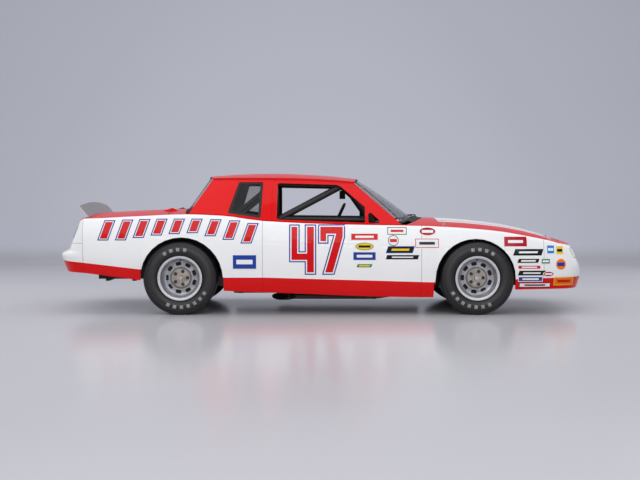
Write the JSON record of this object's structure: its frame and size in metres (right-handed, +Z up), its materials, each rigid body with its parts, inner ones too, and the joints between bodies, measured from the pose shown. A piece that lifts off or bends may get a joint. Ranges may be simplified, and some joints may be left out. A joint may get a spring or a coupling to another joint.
{
  "type": "stock car",
  "caption": "Oval-track stock car with a two-door coupe body, roll cage, tail spoiler and slotted steel wheels",
  "frame": {"origin": "on the road under the middle of the car", "axes": "+X forward, +Y to the car's left, +Z up"},
  "size_m": [5.0799, 1.83, 1.3444],
  "materials": {
    "white_paint": "gloss",
    "red_paint": "gloss",
    "black_paint": "satin",
    "glass": "clear",
    "tyre": "matte",
    "wheel_steel": "satin",
    "bare_aluminium": "brushed",
    "bare_steel": "matte",
    "seat_fabric": "matte",
    "black_plastic": "matte"
  },
  "bodies": {
    "chassis": {"fender_right": "white_paint", "fender_left": "white_paint", "quarter_right": "white_paint", "quarter_left": "white_paint", "door_right": "white_paint", "door_left": "white_paint", "rocker_right": "red_paint", "rocker_left": "red_paint", "nose": "white_paint", "grille": "black_plastic", "rear_bumper": "white_paint", "tail_panel": "white_paint", "filler_panel": "red_paint", "roof": "red_paint", "side_frame_right": "red_paint", "side_frame_left": "red_paint", "quarter_windows": "glass", "windshield": "glass", "rear_window": "glass", "frame": "black_paint", "body_mounts": "black_plastic", "floor_pan": "black_paint", "rear_bulkhead": "black_paint", "cowl": "black_plastic", "roll_cage": "black_paint", "driver_seat": "seat_fabric", "dashboard": "black_paint", "steering_column": "bare_steel", "mirror": "black_plastic", "engine": "bare_steel", "radiator": "bare_aluminium", "rear_axle": "bare_steel", "drive_shaft": "bare_steel", "truck_arms": "bare_steel", "control_arms": "bare_steel", "coil_springs": "bare_steel", "exhaust": "black_paint", "fuel_cell": "black_paint"},
    "hood": {"hood": "red_paint"},
    "deck_lid": {"deck_lid": "red_paint", "spoiler": "bare_aluminium"},
    "knuckle_right": {"knuckle_right": "bare_steel"},
    "knuckle_left": {"knuckle_left": "bare_steel"},
    "wheel_front_right": {"rim_front_right": "wheel_steel", "tyre_front_right": "tyre"},
    "wheel_front_left": {"rim_front_left": "wheel_steel", "tyre_front_left": "tyre"},
    "wheel_rear_right": {"rim_rear_right": "wheel_steel", "tyre_rear_right": "tyre"},
    "wheel_rear_left": {"rim_rear_left": "wheel_steel", "tyre_rear_left": "tyre"},
    "steering_wheel": {"steering_wheel": "black_plastic"}
  },
  "joints": [
    {"name": "hood_open", "type": "hinge", "parent": "chassis", "child": "hood", "pos_m": [0.79, 0, 0.806], "axis": [0, -1, 0], "range_deg": [0, 40]},
    {"name": "deck_open", "type": "hinge", "parent": "chassis", "child": "deck_lid", "pos_m": [-1.4615, 0, 0.991], "axis": [0, 1, 0], "range_deg": [0, 70]},
    {"name": "steer_right", "type": "hinge", "parent": "chassis", "child": "knuckle_right", "pos_m": [1.458, -0.655, 0.345], "axis": [0, 0, 1], "range_deg": [-25, 25]},
    {"name": "steer_left", "type": "hinge", "parent": "chassis", "child": "knuckle_left", "pos_m": [1.458, 0.655, 0.345], "axis": [0, 0, 1], "range_deg": [-25, 25]},
    {"name": "steering_wheel_turn", "type": "hinge", "parent": "chassis", "child": "steering_wheel", "pos_m": [0.19, 0.385, 0.868], "axis": [-0.9063, 0, 0.4226], "range_deg": [-300, 300]},
    {"name": "spin_front_right", "type": "hinge", "parent": "knuckle_right", "child": "wheel_front_right", "pos_m": [1.458, -0.762, 0.345], "axis": [0, 1, 0], "continuous": true},
    {"name": "spin_front_left", "type": "hinge", "parent": "knuckle_left", "child": "wheel_front_left", "pos_m": [1.458, 0.762, 0.345], "axis": [0, 1, 0], "continuous": true},
    {"name": "spin_rear_right", "type": "hinge", "parent": "chassis", "child": "wheel_rear_right", "pos_m": [-1.336, -0.762, 0.345], "axis": [0, 1, 0], "continuous": true},
    {"name": "spin_rear_left", "type": "hinge", "parent": "chassis", "child": "wheel_rear_left", "pos_m": [-1.336, 0.762, 0.345], "axis": [0, 1, 0], "continuous": true}
  ],
  "couplings": [
    {"joint": "steer_left", "follows": "steer_right", "ratio": 1},
    {"joint": "steering_wheel_turn", "follows": "steer_right", "ratio": 12}
  ]
}
